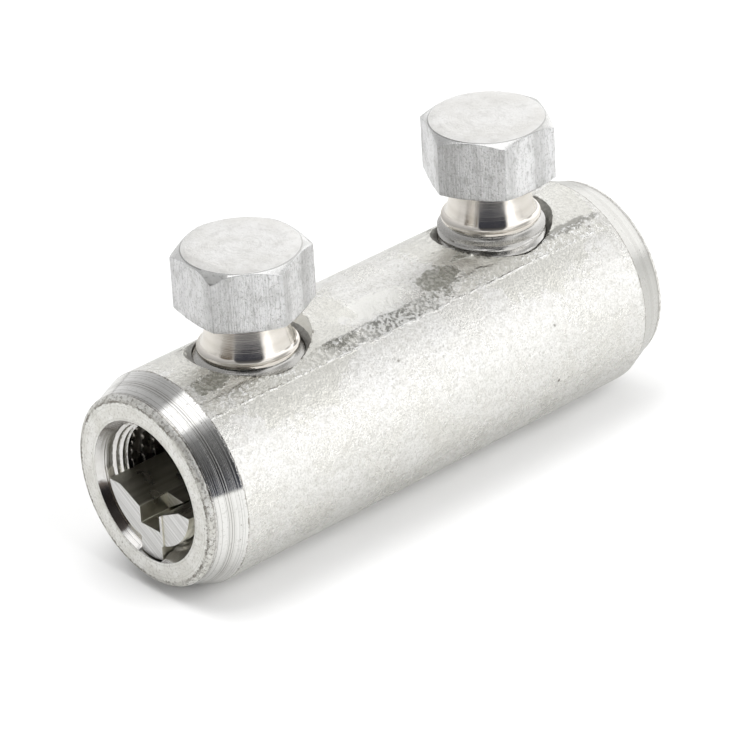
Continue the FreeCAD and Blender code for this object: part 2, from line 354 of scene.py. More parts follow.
# %% Metal
class Metal(Tree):
    """A bare metal material. place is the Object coordinate in metres, along and around are the lengths
    that the grids carry, in cm. Sizes in the calls are mm."""

    def __init__(self, name):
        self.material = bpy.data.materials.new(name)
        self.material.use_nodes = True
        super().__init__(self.material.node_tree)
        self.shader = self.nodes["Principled BSDF"].inputs
        self.shader["Metallic"].default_value = 1.0
        self.place = self.node("TexCoord")["Object"]
        run = self.split(self.node("UVMap", {"uv_map": "lengths"})[0])
        self.along, self.around = run[0], run[1]

    def use(self, group, **inputs):
        """Places a group with its own values."""
        return self.node("Group", {"node_tree": group}, **inputs)

    def cloud(self, size, contrast):
        return self.use(cloud_group, Vector=self.place, Size_mm=size, Contrast=contrast)[0]

    def grain(self, size, share, vector=None):
        return self.use(grain_group, Vector=vector or self.place, Size_mm=size, Speck_share=share)

    def marks(self, length, pitch, wander=0.0):
        return self.use(mark_group, Length_cm=length, Pitch_mm=pitch, Wander=wander)

    def pits(self, spacing, share):
        return self.use(pit_group, Vector=self.place, Spacing_mm=spacing, Share=share)[0]

    def near_end(self, far):
        """1 on the photographed end of the object and far on the other end."""
        return self.ramp(self.split(self.place)[0], -0.001, 0.001, 1.0, far)

    def done(self, tone, rough, height, depth):
        """Feeds colour, roughness and a bump whose height 1 stands depth above height 0."""
        self.feed(self.shader["Base Color"], tone)
        self.feed(self.shader["Roughness"], rough)
        bump = self.node("Bump", Height=height, Distance=depth * MM, Strength=1.0)
        self.feed(self.shader["Normal"], bump[0])
        print("material", self.material.name)
        return self.material


def grey(value, warm):
    """A grey with a little warmth."""
    return (value * (1 + warm), value, value * (1 - 1.4 * warm))


# %% [markdown]
# ## Tin plating
# The barrel is plated with tin, so it is bright and white but dull: fine grain breaks up each reflection,
# clouds of a few millimetres change how sharp it is, and dark specks sit in the grain. Along the top runs
# a raised, ragged line, and beside it a coarser, greyer strip. They could be painted by hand on a UV
# map. Windows of the angle around find them here, and noise makes their borders ragged.

# %% Tin plating
tree = Metal("tinned skin")
x_mm, arc_mm = tree.along * 10.0, tree.around * 10.0
angle = tree.around * (10.0 / BARREL_R * TO_DEGREES)
cloud, haze, crumb = tree.cloud(5.5, 1.5), tree.cloud(1.5, 1.8), tree.cloud(0.8, 2.2)
fine, coarse = tree.grain(0.30, 0.42), tree.grain(0.42, 0.62)
dust = tree.noise(tree.place, 5200.0, 2.0, 0.6)
wobble = (haze - 0.5) * 3.0
strip = tree.window(angle + wobble, 26.0, 35.6, 0.9) * tree.ramp(cloud, 0.3, 0.6, 0.35, 1.0)
line = tree.window(angle + wobble * 0.28, 35.0, 36.0, 0.4) * tree.ramp(crumb, 0.35, 0.65)
# Round each hole the skin is rubbed smoother, and its colour is darkened there as a painted reflection of the
# bolt head above it.
off_hole = tree.distance(abs(x_mm) - BOLT_X, arc_mm)
rubbed_with_painted_reflection = tree.ramp(off_hole + (haze - 0.5) * 4.5 + (cloud - 0.5) * 5.0, 11.0, 11.9, 1.0, 0.0)
print("strip between 26 and 35.6 degrees from the top")

# %% [markdown]
# Handling has scuffed the plating beside both bolts. Between them a white oval is a painted highlight, where
# the top reflects the bright tent, and from the far hole towards the far band a soft dark streak is the far
# head's shadow, painted on. Each is an oval in the barrel's own measures, with a ragged border.


# %% Scuffs
def scuff(middle_x, middle_angle, reach_x, reach_angle):
    """A ragged oval: distance from its middle, in shares of its reaches, shaken by noise."""
    off = tree.distance((x_mm - middle_x) / reach_x, (angle - middle_angle) / reach_angle)
    return tree.ramp(off + (crumb - 0.5) * 0.7 + (haze - 0.5) * 0.7, 0.75, 1.05, 1.0, 0.0)


scuffed = tree.most(
    scuff(-25.4, 17.0, 3.0, 6.5), scuff(5.6, 21.0, 3.2, 9.5), scuff(-10.2, 28.5, 2.2, 3.2) * 0.8,
    scuff(11.5, 14.0, 2.6, 3.0) * 0.7, scuff(-22.0, 27.5, 4.5, 2.4) * 0.45)
# Painted shadow: a soft dark streak from the far hole towards the far band, where the far head's shadow falls.
painted_head_shadow = scuff(22.8, 26.5, 6.5, 3.0) * 0.85
# Painted highlight: a whiter oval between the bolts, where the top of the barrel reflects the bright tent.
painted_highlight_patch = scuff(-3.6, 17.0, 6.0, 8.0)
crumbly = strip * tree.window(x_mm, -15.0, 3.3, 0.6)
print("scuffs beside both bolts, a painted highlight patch between them")

# %% [markdown]
# The masks now become colour, roughness and height. One image could hold all three, but layers keep each cause
# apart, so that the dirt in the strip, or the shine and the painted dark reflection round a hole, can be
# changed alone.

# %% Tin plating, colour and grain
speck = tree.most(fine["Speck"] * tree.ramp(cloud, 0.2, 0.8, 0.35, 0.9), strip * coarse["Speck"])
hole = tree.pits(2.6, 0.2)
border = tree.ramp(abs(tree.along) + haze * -0.03, 2.858, 2.884)
tone = tree.layers(
    tree.mix(tree.ramp(cloud, 0.15, 0.85), (0.90, 0.89, 0.855), (0.985, 0.98, 0.965)),
    (tree.ramp(crumb, 0.1, 0.6, 1.0, 0.0) * 0.4, (0.70, 0.69, 0.65)),
    (speck * 0.36, (0.38, 0.37, 0.33)),
    (tree.ramp(dust, 0.38, 0.56, 0.36, 0.0), (0.50, 0.49, 0.46)),
    (painted_highlight_patch * 0.85, (0.99, 0.985, 0.95)),
    (rubbed_with_painted_reflection * 0.45, (0.68, 0.67, 0.61)),
    (painted_head_shadow, (0.36, 0.355, 0.33)),
    (scuffed * tree.ramp(coarse["Height"], 0.42, 0.60, 0.85, 0.45), (0.30, 0.295, 0.25)),
    (crumbly * tree.ramp(coarse["Height"], 0.44, 0.52, 0.85, 0.0), (0.30, 0.30, 0.28)),
    (strip * tree.ramp(coarse["Height"], 0.53, 0.60) * 0.9, (0.99, 0.99, 0.98)),
    (border * tree.ramp(cloud, 0.4, 0.65, 0.0, 0.7), (0.3, 0.28, 0.24)),
    (hole * 0.85, (0.20, 0.18, 0.15)),
    (line * 0.8, (0.97, 0.97, 0.96)))
rough = tree.ramp(cloud, 0.1, 0.9, 0.22, 0.34) + strip * 0.03 + speck * 0.10 - rubbed_with_painted_reflection * 0.14
lumps = (strip + crumbly + scuffed) * coarse["Height"]
height = fine["Height"] * 1.25 + crumb * 0.5 + dust * 0.35 + lumps * 2.4 + haze * 0.6 + line * 1.3 - hole * 1.2
tinned = tree.done(tone, rough + scuffed * 0.12, height, 0.075)

# %% [markdown]
# ## Turned ends
# After plating, the band and the rim at each end were turned on a lathe. The near one is almost a mirror with
# fine dark scores round it, and the far one is duller and greyer. The scores could be cut as real grooves, but
# they are too fine for a mesh, so tool marks along the profile draw them. Dirt stays at the band's border with
# the skin, and at the near end the corner where the band meets the rim is painted dark as shade.

# %% Turned ends
tree = Metal("turned end")
marks, broad = tree.marks(tree.along, 0.13), tree.marks(tree.along, 0.4)
cloud, fine, hole = tree.cloud(3.0, 1.4), tree.grain(0.3, 0.4), tree.pits(1.0, 0.3)
near_end = tree.near_end(0.35)
scored = tree.ramp(marks["Height"], 0.30, 0.47, 1.0, 0.0) * near_end
edge = tree.along + (fine["Height"] - 0.5) * 0.10
# The first window is dirt at the band's border with the skin; the second is painted shade in the corner where
# the band meets the rim.
start, rim_corner_shade = tree.ramp(edge, 0.004, 0.014, 1.0, 0.0), tree.window(edge, 0.356, 0.396, 0.012)
dirt_and_corner_shade = tree.most(start, rim_corner_shade * near_end) * tree.ramp(cloud, 0.25, 0.6, 0.35, 1.0)
tone = tree.layers(
    tree.mix(broad["Streak"], (0.74, 0.73, 0.71), (0.91, 0.905, 0.89)),
    (1.0 - near_end, (0.54, 0.535, 0.505)),
    (scored * 0.8, (0.28, 0.27, 0.25)),
    (dirt_and_corner_shade * 0.8, (0.22, 0.20, 0.17)),
    (fine["Speck"] * 0.3, (0.42, 0.41, 0.38)),
    (hole * 0.7, (0.2, 0.18, 0.16)))
rough = (1.0 - near_end) * 0.3 + tree.ramp(cloud, 0.2, 0.8, 0.05, 0.11)
height = marks["Height"] + fine["Height"] * 0.3 - hole * 0.8 - dirt_and_corner_shade * 1.5
turned = tree.done(tone, rough, height, 0.006)

# %% [markdown]
# The flat ring round each mouth is rougher than the band: faint rings, a crumbly outer rim, painted shade in
# the corner that it has with the band, and dark dirt in the corner that it has with the cone. Each is a window
# of the distance run along the profile, so they stay on their edges.

# %% End face
tree = Metal("turned face")
marks, cloud = tree.marks(tree.along, 0.2), tree.cloud(2.0, 1.9)
fine, crumbs, hole = tree.grain(0.32, 0.5), tree.grain(0.36, 0.5), tree.pits(1.1, 0.2)
edge = tree.along + (fine["Height"] - 0.5) * 0.09
# The first mask is painted shade in the corner with the band; the next is dark dirt, and the rim's specks are
# real.
rim_corner_shade = tree.ramp(edge, 0.378, 0.392, 1.0, 0.0) * tree.ramp(cloud, 0.25, 0.55, 0.4, 0.9)
inner = tree.window(edge, 0.462, 0.490, 0.008) * tree.ramp(cloud, 0.3, 0.6, 0.25, 0.9)
rim = tree.window(edge, 0.375, 0.472, 0.006)
dirt_and_corner_shade = tree.most(rim_corner_shade, inner, rim * crumbs["Speck"] * 0.6) * tree.near_end(0.35)
tone = tree.layers(
    tree.mix(tree.ramp(cloud, 0.2, 0.8), (0.78, 0.77, 0.73), (0.93, 0.925, 0.90)),
    (tree.ramp(marks["Height"], 0.33, 0.47, 1.0, 0.0) * 0.3, (0.5, 0.49, 0.45)),
    (fine["Speck"] * 0.4, (0.46, 0.44, 0.40)),
    (dirt_and_corner_shade, (0.22, 0.20, 0.17)),
    (hole * 0.8, (0.2, 0.18, 0.15)))
height = marks["Height"] * 0.6 + fine["Height"] + rim * crumbs["Height"] * 1.1 - hole * 0.8 - dirt_and_corner_shade * 0.7
end_face = tree.done(tone, tree.ramp(cloud, 0.2, 0.8, 0.30, 0.42), height, 0.07)

# %% [markdown]
# ## Bore and lead in
# The bore's tin is greyer and greasy, as joint paste has been in it. Clouds and grain are enough, because
# the teeth and grooves that catch the light are real geometry.

# %% Bore finish
tree = Metal("bore tin")
cloud, fine = tree.cloud(2.5, 1.5), tree.grain(0.25, 0.3)
tone = tree.layers(
    tree.mix(tree.ramp(cloud, 0.2, 0.8), grey(0.36, 0.06), grey(0.50, 0.05)),
    (fine["Speck"] * 0.35, grey(0.2, 0.05)))
bore_skin = tree.done(tone, tree.ramp(cloud, 0.2, 0.8, 0.24, 0.36), fine["Height"], 0.02)

# %% [markdown]
# The cone that leads a conductor in is turned bright, and one lower flank of it is painted dark as shade,
# where the insert keeps the light off. The flank is a window of the angle round the barrel's axis, from the
# top.

# %% Lead in finish
tree = Metal("lead in cone")
marks, cloud, spot = tree.marks(tree.along, 0.22), tree.cloud(2.0, 1.6), tree.split(tree.place)
flank = tree.math("ARCTAN2", spot[1], spot[2]) * TO_DEGREES + (cloud - 0.5) * 8.0
# Painted shade: the lower flank on the plus Y side lies in the shadow of the insert.
painted_flank_shade = tree.window(flank, 105.0, 146.0, 2.0) * tree.ramp(cloud, 0.2, 0.6, 0.8, 0.95)
tone = tree.layers(
    tree.mix(tree.ramp(cloud, 0.2, 0.8), grey(0.74, 0.02), grey(0.90, 0.01)),
    (painted_flank_shade, (0.15, 0.12, 0.105)))
lead_in = tree.done(tone, tree.ramp(cloud, 0.2, 0.8, 0.16, 0.26), marks["Height"], 0.02)

# %% [markdown]
# ## Countersinks
# The cone round each tapped hole is dark. At the near hole its upper edge is painted pale cream as a highlight
# of the light that falls there, and Metallic falls there, and the side towards the mouth is dark, partly from
# a burr and partly from painted shade. The height, which the UV map holds here, tells the upper edge, and the
# place along the barrel tells the burr.

# %% Countersinks
tree = Metal("countersink")
cloud, fine, near_hole = tree.cloud(1.2, 2.2), tree.grain(0.28, 0.6), tree.near_end(0.0)
# Painted highlight: the pale upper edge of the near countersink stands in for the light falling there.
painted_lit_edge = tree.ramp(tree.along + (cloud - 0.5) * 0.008, 1.118, 1.124) * near_hole
# Dark on the side towards the mouth: partly a burr, partly painted shade.
burr_and_shade = tree.ramp(tree.split(tree.place)[0], -0.0236, -0.0222, 1.0, 0.0)
tone = tree.layers(
    tree.mix(tree.ramp(cloud, 0.15, 0.85), (0.28, 0.275, 0.25), (0.50, 0.49, 0.46)),
    (near_hole * 0.7, (0.42, 0.415, 0.40)),
    (fine["Speck"] * 0.4, (0.16, 0.155, 0.14)),
    (painted_lit_edge * 0.95, (0.98, 0.97, 0.91)),
    (burr_and_shade * tree.ramp(cloud, 0.35, 0.6, 0.9, 0.3), (0.20, 0.19, 0.17)))
tree.feed(tree.shader["Metallic"], 1.0 - painted_lit_edge * 0.75)
countersunk = tree.done(tone, tree.ramp(cloud, 0.2, 0.8, 0.30, 0.45), fine["Height"], 0.05)

# %% [markdown]
# ## Bolts
# The bolts are bare aluminium. The flats of a head keep the surface of the drawn bar: upright streaks of
# several widths with short dark dashes in them. Tool marks round the hexagon give the streaks, and grain
# stretched along the bolt by a Mapping node gives the dashes.

# %% Head flats
tree = Metal("bolt flats")
drift = tree.cloud(3.0, 1.0) * 1.2
marks, broad = tree.marks(tree.around, 0.17, drift), tree.marks(tree.around, 1.0, drift)
stripe = tree.marks(tree.around, 2.2, drift * 0.4)
long_grain = tree.node("Mapping", Vector=tree.place, Scale=(1.0, 1.0, 0.22))[0]
cloud, fine, dashes = tree.cloud(1.8, 2.0), tree.grain(0.25, 0.45), tree.grain(0.22, 0.5, long_grain)
tone = tree.layers(
    tree.mix(broad["Streak"], (0.60, 0.60, 0.60), (0.98, 0.98, 0.99)),
    (stripe["Streak"] * 0.6, (0.98, 0.98, 1.0)),
    (tree.ramp(marks["Height"], 0.35, 0.6) * 0.45, (0.95, 0.95, 0.96)),
    (tree.ramp(cloud, 0.5, 0.9) * 0.4, (0.54, 0.54, 0.525)),
    (dashes["Speck"] * 0.36, (0.40, 0.40, 0.395)),
    (fine["Speck"] * 0.5, (0.40, 0.40, 0.39)))
height = marks["Height"] + broad["Height"] * 1.2 + dashes["Height"] * 0.8 + fine["Height"] * 2.0
bolt_flats = tree.done(tone, tree.ramp(cloud, 0.2, 0.8, 0.34, 0.46), height, 0.06)

# %% [markdown]
# The top of a head was faced on the lathe, but its rings are faint under soft blotches. A thin darker ring
# marks where the chamfer begins. The same finish serves the head's underside.

# %% Head top
tree = Metal("bolt facing")
marks, ring = tree.marks(tree.along, 0.3), tree.window(tree.along, -0.004, 0.003, 0.003)
cloud, blotch, fine = tree.cloud(3.0, 2.0), tree.cloud(1.1, 2.0), tree.grain(0.26, 0.3)
tone = tree.layers(
    tree.mix(tree.ramp(cloud, 0.15, 0.85), (0.76, 0.75, 0.73), (0.92, 0.915, 0.905)),
    (tree.ramp(blotch, 0.5, 0.9) * 0.4, (0.66, 0.65, 0.63)),
    (ring * 0.45, (0.45, 0.44, 0.43)),
    (tree.ramp(marks["Height"], 0.34, 0.46, 1.0, 0.0) * 0.08, (0.6, 0.59, 0.57)),
    (fine["Speck"] * 0.4, (0.52, 0.51, 0.49)))
height = marks["Height"] * 0.4 + fine["Height"] + blotch
bolt_top = tree.done(tone, tree.ramp(cloud, 0.2, 0.8, 0.34, 0.46), height, 0.04)

# %% [markdown]
# The chamfer round the top is bright where it was freshly turned and duller on the side away from the
# near mouth. That side is a window of the angle round each bolt's own axis, and Sign picks the axis.

# %% Head chamfer
tree = Metal("bolt chamfer")
cloud, fine, spot = tree.cloud(1.6, 2.0), tree.grain(0.24, 0.3), tree.split(tree.place)
off_axis = spot[0] - tree.math("SIGN", spot[0]) * (BOLT_X * MM)
facing = tree.math("ARCTAN2", off_axis, spot[1] * -1.0) * TO_DEGREES
tone = tree.layers(
    tree.mix(tree.ramp(cloud, 0.15, 0.85), (0.88, 0.88, 0.87), (0.98, 0.98, 0.975)),
    (tree.window(facing, 6.0, 170.0, 6.0),
     tree.mix(tree.ramp(cloud, 0.2, 0.8), (0.66, 0.66, 0.65), (0.78, 0.78, 0.77))),
    (tree.window(tree.along, -0.012, 0.001, 0.004), (0.55, 0.55, 0.54)),
    (fine["Speck"] * 0.4, (0.5, 0.5, 0.49)))
bolt_chamfer = tree.done(tone, tree.ramp(cloud, 0.2, 0.8, 0.16, 0.28), fine["Height"], 0.02)

# %% [markdown]
# One corner of the near head has been scraped and dented: matt and grainy, with painted shade in the dent that
# is darkest at its lower end. It is a finish of its own on the few faces there, because a mask would need the
# corner's place in space.

# %% Scraped corner
tree = Metal("scrape and dent shade")
fine = tree.grain(0.35, 0.4)
# The darker colour is painted shade in the dent; the matt roughness is the real scrape.
tone = tree.layers(
    tree.mix(fine["Speck"] * 0.6, (0.70, 0.70, 0.69), (0.40, 0.40, 0.39)),
    (tree.ramp(tree.along, -0.112, -0.085, 0.85, 0.0), (0.24, 0.24, 0.23)))
scrape_and_dent_shade = tree.done(tone, tree.ramp(fine["Height"], 0.3, 0.7, 0.42, 0.6), fine["Height"], 0.05)

# %% [markdown]
# The neck under a head is turned to a polish and looks a little warm. Hardly any bump is left, and the
# roughness grows a little towards the head.

# %% Neck
tree = Metal("bolt neck")
marks, broad = tree.marks(tree.along, 0.09), tree.marks(tree.along, 0.3)
cloud, fine = tree.cloud(2.0, 1.4), tree.grain(0.22, 0.3)
tone = tree.layers(
    tree.mix(broad["Streak"], (0.74, 0.70, 0.64), (0.86, 0.82, 0.765)),
    (fine["Speck"] * 0.2, (0.4, 0.39, 0.37)))
rough = tree.ramp(tree.along, 0.06, 0.30, 0.0, 0.06) + tree.ramp(cloud, 0.2, 0.8, 0.09, 0.15)
bolt_neck = tree.done(tone, rough, marks["Height"] + fine["Height"] * 0.6, 0.003)

# %% [markdown]
# The thread is cut, so it is bright and slightly streaked along its turns. The turns themselves are in
# the mesh, as a bump would leave the outline straight.

# %% Thread
tree = Metal("bolt thread")
marks, fine = tree.marks(tree.along, 0.4), tree.grain(0.3, 0.3)
tone = tree.layers(
    tree.mix(marks["Streak"], (0.60, 0.59, 0.57), (0.70, 0.69, 0.675)),
    (fine["Speck"] * 0.15, (0.4, 0.39, 0.37)))
rough = tree.ramp(fine["Height"], 0.3, 0.7, 0.2, 0.3)
bolt_thread = tree.done(tone, rough, marks["Height"] + fine["Height"] * 0.5, 0.006)

# %% [markdown]
# ## Inserts
# An insert is an extruded bar, so its sides have lines along their length, which are tool marks round the
# outline. Low in the slot the last four millimetres before each mouth are painted brighter, as light that
# reaches in at the mouth.

# %% Insert sides
tree = Metal("insert side")
marks, cloud, spot = tree.marks(tree.around, 0.3), tree.cloud(2.6, 1.5), tree.split(tree.place)
# Painted light: brighter low in the slot near each mouth, where light reaches in.
lit_slot_mouth = tree.ramp(spot[2], -0.0026, -0.0024, 1.0, 0.0) * tree.ramp(abs(spot[0]), 0.0284, 0.0288)
tone = tree.layers(
    tree.mix(marks["Streak"], (0.53, 0.52, 0.44), (0.68, 0.67, 0.59)),
    (lit_slot_mouth, (0.86, 0.84, 0.74)))
insert_side = tree.done(tone, tree.ramp(cloud, 0.2, 0.8, 0.26, 0.38), marks["Height"], 0.012)

# %% [markdown]
# The ends were sawn, which leaves parallel lines at a slant. A Mapping node turns the coordinate about the
# barrel's axis, and tool marks run across the turned height.

# %% Sawn ends
tree = Metal("sawn end")
slanted = tree.node("Mapping", Vector=tree.place, Rotation=(math.radians(-33), 0.0, 0.0))[0]
marks, fine = tree.marks(tree.split(slanted)[2] * 100.0, 0.34), tree.grain(0.25, 0.3)
tone = tree.layers(
    tree.mix(tree.ramp(marks["Height"], 0.42, 0.62), grey(0.66, 0.008), grey(0.84, 0.004)),
    (fine["Speck"] * 0.2, grey(0.45, 0.01)))
rough = tree.ramp(fine["Height"], 0.3, 0.7, 0.38, 0.5)
insert_end = tree.done(tone, rough, marks["Height"] + fine["Height"] * 0.4, 0.03)

# %% [markdown]
# ## Barrel skin
# The skin is a cylinder with two holes in its top. A Boolean could cut them, but it leaves long thin faces
# that shade badly. A plain grid can't follow a hole either, so a square round each hole is left out of
# the grid and filled by rays, which run from the square's border to the hole's rim.


# %% Cylinder
def round_axis(x, radius, angle):
    """A point at x along the barrel's axis, at a radius and an angle from the top towards minus Y."""
    return np.stack([x + 0 * angle, -radius * np.sin(angle), radius * np.cos(angle)], -1)


def on_barrel(x, arc):
    """A point on the barrel, whose angle is the length of arc from the top over the radius."""
    return round_axis(x, BARREL_R, arc / BARREL_R)


def steps(*stops):
    """Numbers that run through (value, count) stops, with count even steps before each value."""
    start, parts = stops[0][0], [np.array([stops[0][0]], float)]
    for value, count in stops[1:]:
        parts.append(np.linspace(start, value, count + 1)[1:])
        start = value
    return np.concatenate(parts)


PATCH, PATCH_N, HALF_TURN = 8.8, 36, math.pi * BARREL_R
skin_x = steps((-BAND_END, 0), (-BOLT_X - PATCH, 5), (-BOLT_X + PATCH, PATCH_N), (BOLT_X - PATCH, 36),
               (BOLT_X + PATCH, PATCH_N), (BAND_END, 5))
skin_arc = steps((-HALF_TURN, 0), (-PATCH, 44), (PATCH, PATCH_N), (HALF_TURN, 44))
middle_x, middle_arc = (skin_x[1:] + skin_x[:-1]) / 2, (skin_arc[1:] + skin_arc[:-1]) / 2
in_patch = (np.abs(np.abs(middle_x)[:, None] - BOLT_X) < PATCH) & (np.abs(middle_arc)[None] < PATCH)
barrel = Shell()
grid_x, grid_arc = np.meshgrid(skin_x, skin_arc, indexing="ij")
points = on_barrel(grid_x, grid_arc)
barrel.add(points, np.stack([grid_x, grid_arc], -1) / 10, 0, points * [0, 1, 1], keep=~in_patch)
print("skin grid", points.shape[:2])

# %% [markdown]
# The rim of a hole isn't round: a cone cut into a cylinder reaches further out where the cylinder stands
# higher. Its lip is ragged, as the tool left it. Below the rim come the cone, the wall down to the bore,
# and a narrow collar above the bore's roof that closes the gap between wall and teeth.


# %% Hole rims
def hole_rim(theta):
    """Distance from the hole's axis to its rim at each angle. The countersink's cone widens by the height
    above its foot, and the barrel's height falls with the distance sideways; a few rounds settle both."""
    reach = np.full_like(theta, 7.0)
    for _ in range(30):
        height = np.sqrt(BARREL_R**2 - (reach * np.sin(theta)) ** 2)
        reach = HOLE_R + np.maximum(0, height - COUNTERSINK_FOOT)
    return reach


def add_patch(shell, centre, seed):
    """The square round one hole: rays from its border to the rim, closer together near the rim, which
    lift to a ragged lip. Returns the rays' angles, the rim's distances and its heights."""
    edge = np.linspace(-PATCH, PATCH, PATCH_N + 1)
    side_a = np.stack([np.full(PATCH_N, PATCH), edge[:-1]], -1)
    side_b = np.stack([-edge[:-1], np.full(PATCH_N, PATCH)], -1)
    border = np.concatenate([side_a, side_b, -side_a, -side_b, side_a[:1]])
    theta = np.arctan2(BARREL_R * np.sin(border[:, 1] / BARREL_R), border[:, 0])
    ragged = np.random.default_rng(seed).normal(0, 0.035, len(theta))
    lip = np.random.default_rng(seed + 7).gamma(0.6, 0.07, len(theta)).clip(0, 0.3)
    ragged[-1], lip[-1] = ragged[0], lip[0]
    reach = hole_rim(theta) + np.abs(ragged)
    rim = np.stack([reach * np.cos(theta), BARREL_R * np.arcsin(reach * np.sin(theta) / BARREL_R)], -1)
    share = np.linspace(0, 1, 12)[:, None, None] ** 1.3
    flat = rim * (1 - share) + border * share + [centre, 0]
    lifted = BARREL_R + lip * np.interp(np.arange(12), [0, 1, 2, 4], [0.4, 1.0, 0.5, 0.0])[:, None]
    points = on_barrel(flat[..., 0], flat[..., 1])
    points = points * np.stack([1 + 0 * lifted, lifted / BARREL_R, lifted / BARREL_R], -1)
    shell.add(points, flat / 10, 0, points * [0, 1, 1])
    return theta, reach, points[0, :, 2]


def add_hole(shell, centre, seed):
    """The patch round one hole, its cone, its wall down to the bore and the collar above the bore."""
    theta, rim, top = add_patch(shell, centre, seed)
    plan = np.stack([np.cos(theta), -np.sin(theta)], -1)[None]
    to_axis = np.concatenate([-plan, 0 * plan[..., :1]], -1)

    def add_rings(radius, height, finish, outward):
        """Rings round the hole's axis, at these distances and heights."""
        radius = radius + 0 * height
        points = np.concatenate([plan * radius[..., None] + [centre, 0], height[..., None]], -1)
        shell.add(points, np.stack([height, radius * theta], -1) / 10, finish, outward)

    foot = np.minimum(COUNTERSINK_FOOT, top - 0.02)
    share = np.linspace(0, 1, 5)[:, None]
    add_rings(rim * (1 - share) + HOLE_R * share, top * (1 - share) + foot * share, 5, to_axis + [0, 0, 1])
    low = np.sqrt(BORE_R**2 - (HOLE_R * np.sin(theta)) ** 2) - 0.15
    share = np.linspace(0, 1, 10)[:, None]
    add_rings(HOLE_R, foot * (1 - share) + low * share, 2, to_axis)
    reach = HOLE_R + np.array([[0], [0.2], [0.4]])
    add_rings(reach, np.sqrt((BORE_R + 0.6) ** 2 - (reach * np.sin(theta)) ** 2), 2, [0, 0, -1])


for number, (centre, _, _) in enumerate(BOLTS.values()):
    add_hole(barrel, centre, 40 + number)
print("rim reach along and across", hole_rim(np.array([0.0, math.pi / 2])).round(2))

# %% [markdown]
# ## Ends of the barrel
# Band, rim and face are one profile turned round the axis, as on the lathe. The Spin tool could do it, but
# a grid carries its UV map with it. Its columns are evenly spaced, unlike those of the skin, so the two
# aren't welded: they only meet on one circle. The same profile serves both ends, and the burr that stands
# up from the near rim is cut off at the far one.

# %% Ends
band_profile = np.column_stack([np.linspace(BAND_END, RIM_END, 9), np.linspace(BARREL_R, BAND_START_R, 9)])
rim_profile = np.array([[32.38, 10.66], [32.39, 10.74], [32.45, 10.78], [32.58, 10.75], [32.74, 10.62],
                        [32.89, 10.43], [32.97, 10.31], [33.0, 10.2]])
face_profile = np.array([[33.0, 10.2], [33.0, 9.5], [33.0, 8.8], [33.0, 8.22], [32.98, 8.1], [32.92, 8.02]])
FAR_RIM_R = 10.67
end_angle = np.linspace(-math.pi, math.pi, 2 * len(skin_arc) - 1)
profiles = (band_profile, 0, 3), (rim_profile, 3.73, 4), (face_profile, 4.76, 4)
for side in (-1, 1):
    for profile, run_before, finish in profiles:
        tallest = FAR_RIM_R if side > 0 and finish == 4 else BARREL_R
        points = round_axis(side * profile[:, :1], np.minimum(profile[:, 1:], tallest), end_angle)
        run = lengths(profile)[:, None] + run_before
        uv = np.stack([run + 0 * end_angle, profile[:, 1:] * end_angle], -1) / 10
        barrel.add(points, uv, finish, points * [0, 1, 1] + [side * 9, 0, 0])
print("end profiles", len(band_profile) + len(rim_profile) + len(face_profile), "points")

# %% [markdown]
# ## Bores
# Looking along the axis, the bore's outline is a distance from the axis for each angle: the plain bore,
# V grooves over the roof and the keyway in the floor. Looking along the wall there is the lead in cone and
# then one ring groove after another, finer ones first. The surface takes whichever cut is deeper, and
# what neither the V grooves nor the ring grooves reach is left standing as teeth.


# %% Bore shapes
ROOF_END, V_PITCH, V_DEPTH = math.radians(95), math.radians(10), 0.34
KEY_HALF_WIDTH, KEY_R, KEY_DROP, KEY_ANGLE = 1.77, 4.5, 3.733, 0.2762
FINE_START, DEEP_START = 1.45, 3.31


def bore_outline(angle):
    """Radius of the bore's section at each angle from the top: the bore and a V groove every ten degrees
    of the roof, or the keyway, whose sides are upright lines and whose floor is an arc."""
    off = np.abs((angle + V_PITCH / 2) % V_PITCH - V_PITCH / 2)
    grooves = np.where(np.abs(angle) < ROOF_END, V_DEPTH * (1 - off / (V_PITCH / 2)), 0)
    down = np.abs(np.abs(angle) - math.pi)
    floor = KEY_DROP * np.cos(down) + np.sqrt(KEY_R**2 - (KEY_DROP * np.sin(down)) ** 2)
    side = KEY_HALF_WIDTH / np.maximum(np.sin(down), 0.05)
    keyway = np.where(down < KEY_ANGLE, np.minimum(floor, side), BORE_R)
    return np.maximum(BORE_R + grooves, keyway)


def ring_grooves(depth, start, pitch, cut, land, flank):
    """Depth of grooves that repeat along the bore: none on a land, then full over a short flank."""
    off = np.abs((depth - start + pitch / 2) % pitch - pitch / 2)
    return cut * np.clip((off - land) / flank, 0, 1)


def bore_wall(x):
    """Radius of the cone with the bore, and of the same with the ring grooves cut, at each x."""
    cone = BORE_R + (MOUTH_R - BORE_R) * np.maximum(0, x - LEAD_END) / (HALF_LENGTH - LEAD_END)
    depth = HALF_LENGTH - x
    shallow, deep = (depth > FINE_START) & (depth <= DEEP_START), (depth > DEEP_START) & (x > WALL_FACE + 1)
    cut = np.where(shallow, ring_grooves(depth, FINE_START, 0.62, 0.26, 0.02, 0.12), 0)
    return cone, cone + cut + np.where(deep, ring_grooves(depth, 4.0, 1.5, 0.52, 0.03, 0.17), 0)


# %% [markdown]
# The two shapes meet in one grid for each bore, closer together where the teeth can be seen. A little
# noise keeps the cuts from looking printed. Faces inside a tapped hole are left out, the first ones take
# the finish of the cone, and a flat wall closes the bore.

